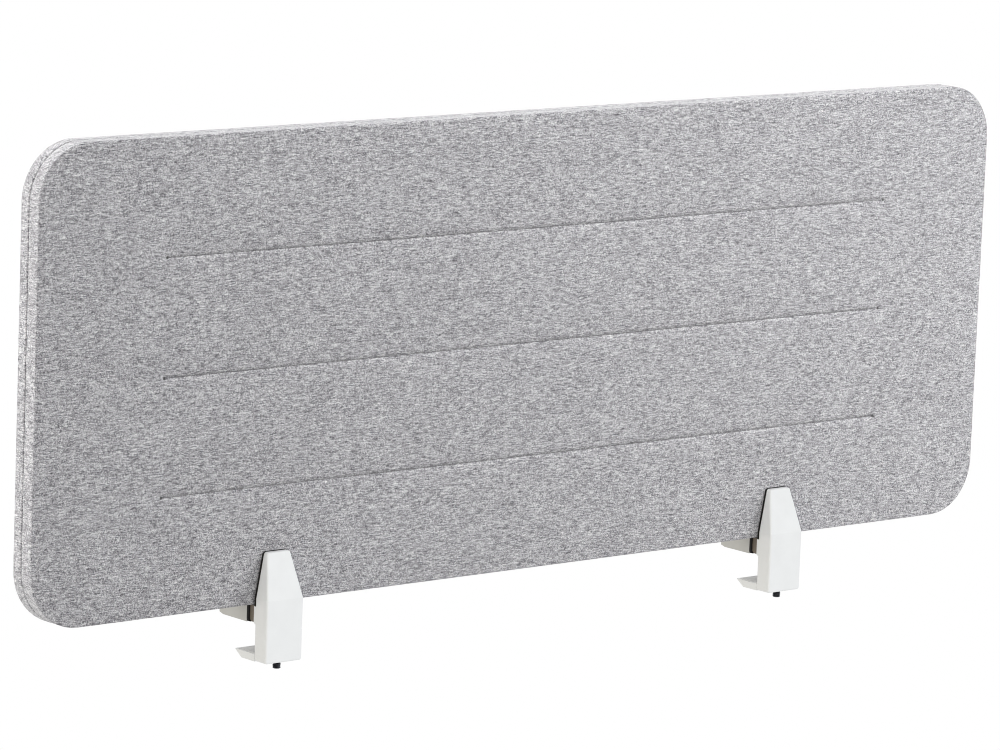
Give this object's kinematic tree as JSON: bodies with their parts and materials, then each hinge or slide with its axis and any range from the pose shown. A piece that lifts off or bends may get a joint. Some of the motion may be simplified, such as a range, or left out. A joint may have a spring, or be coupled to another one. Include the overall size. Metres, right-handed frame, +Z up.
{
  "type": "desk privacy panel",
  "caption": "Long rounded fabric-wrapped desk privacy panel with quilted lines, held upright on a desk edge by tapered white screw clamps.",
  "frame": {"origin": "on the desk top, halfway between the two clamps, 13 mm behind the panel's front face", "axes": "+X along the panel to the seated user's right, +Y away from the user, +Z up"},
  "size_m": [1.2, 0.0755, 0.512],
  "materials": {
    "melange_fabric": "light grey melange upholstery weave",
    "foam": "thin polyurethane foam",
    "fibreboard": "raw fibreboard",
    "grey_thread": "twisted polyester thread",
    "adhesive_tape": "foam tape",
    "white_casting": "satin white powder coat on a zinc casting",
    "grey_casting": "satin light grey powder coat on a zinc casting",
    "black_rubber": "matt moulded rubber",
    "grey_rubber": "matt light grey rubber",
    "dark_plastic": "glass-filled nylon",
    "zinc_steel": "zinc plated",
    "spring_steel": "phosphated spring steel",
    "black_steel": "black oxide"
  },
  "bodies": {
    "panel": {"front_fabric_cover": "melange_fabric", "rear_fabric_cover": "melange_fabric", "front_foam_sheet": "foam", "rear_foam_sheet": "foam", "front_core_board": "fibreboard", "rear_core_board": "fibreboard", "front_quilting_thread": "grey_thread", "rear_quilting_thread": "grey_thread", "joining_tape": "adhesive_tape"},
    "left_clamp": {"left_front_jaw": "white_casting", "left_front_pad": "black_rubber", "left_guide_block": "dark_plastic", "left_guide_screws": "zinc_steel", "left_jaw_nut": "zinc_steel", "left_thrust_washer": "zinc_steel"},
    "left_rear_jaw": {"left_rear_jaw": "grey_casting", "left_rear_pad": "black_rubber", "left_foot_bumper": "black_rubber", "left_foot_pad": "grey_rubber"},
    "left_jaw_screw": {"left_jaw_screw": "black_steel"},
    "left_desk_jaw": {"left_desk_jaw": "white_casting", "left_desk_jaw_pad": "grey_rubber"},
    "left_desk_screw": {"left_desk_screw": "black_steel", "left_retaining_clip": "spring_steel"},
    "right_clamp": {"right_front_jaw": "white_casting", "right_front_pad": "black_rubber", "right_guide_block": "dark_plastic", "right_guide_screws": "zinc_steel", "right_jaw_nut": "zinc_steel", "right_thrust_washer": "zinc_steel"},
    "right_rear_jaw": {"right_rear_jaw": "grey_casting", "right_rear_pad": "black_rubber", "right_foot_bumper": "black_rubber", "right_foot_pad": "grey_rubber"},
    "right_jaw_screw": {"right_jaw_screw": "black_steel"},
    "right_desk_jaw": {"right_desk_jaw": "white_casting", "right_desk_jaw_pad": "grey_rubber"},
    "right_desk_screw": {"right_desk_screw": "black_steel", "right_retaining_clip": "spring_steel"}
  },
  "joints": [
    {"name": "left_clamp_slide", "type": "slide", "parent": "panel", "child": "left_clamp", "axis": [1, 0, 0], "range_m": [-0.2, 0.28]},
    {"name": "left_rear_jaw_slide", "type": "slide", "parent": "left_clamp", "child": "left_rear_jaw", "axis": [0, 1, 0], "range_m": [0, 0.008]},
    {"name": "left_jaw_screw_turn", "type": "hinge", "parent": "left_rear_jaw", "child": "left_jaw_screw", "pos_m": [-0.321, 0, 0.01], "axis": [0, 1, 0], "range_deg": [-10, 3610]},
    {"name": "left_desk_jaw_slide", "type": "slide", "parent": "left_clamp", "child": "left_desk_jaw", "axis": [0, 0, 1], "range_m": [0, 0.018]},
    {"name": "left_desk_screw_turn", "type": "hinge", "parent": "left_clamp", "child": "left_desk_screw", "pos_m": [-0.321, -0.0215, 0], "axis": [0, 0, 1], "range_deg": [-5194, 10]},
    {"name": "right_clamp_slide", "type": "slide", "parent": "panel", "child": "right_clamp", "axis": [1, 0, 0], "range_m": [-0.28, 0.2]},
    {"name": "right_rear_jaw_slide", "type": "slide", "parent": "right_clamp", "child": "right_rear_jaw", "axis": [0, 1, 0], "range_m": [0, 0.008]},
    {"name": "right_jaw_screw_turn", "type": "hinge", "parent": "right_rear_jaw", "child": "right_jaw_screw", "pos_m": [0.321, 0, 0.01], "axis": [0, 1, 0], "range_deg": [-10, 3610]},
    {"name": "right_desk_jaw_slide", "type": "slide", "parent": "right_clamp", "child": "right_desk_jaw", "axis": [0, 0, 1], "range_m": [0, 0.018]},
    {"name": "right_desk_screw_turn", "type": "hinge", "parent": "right_clamp", "child": "right_desk_screw", "pos_m": [0.321, -0.0215, 0], "axis": [0, 0, 1], "range_deg": [-5194, 10]}
  ],
  "couplings": [
    {"joint": "left_jaw_screw_turn", "follows": "left_rear_jaw_slide", "rad_per_m": 7854},
    {"joint": "left_desk_screw_turn", "follows": "left_desk_jaw_slide", "rad_per_m": -5026.5},
    {"joint": "right_jaw_screw_turn", "follows": "right_rear_jaw_slide", "rad_per_m": 7854},
    {"joint": "right_desk_screw_turn", "follows": "right_desk_jaw_slide", "rad_per_m": -5026.5}
  ]
}
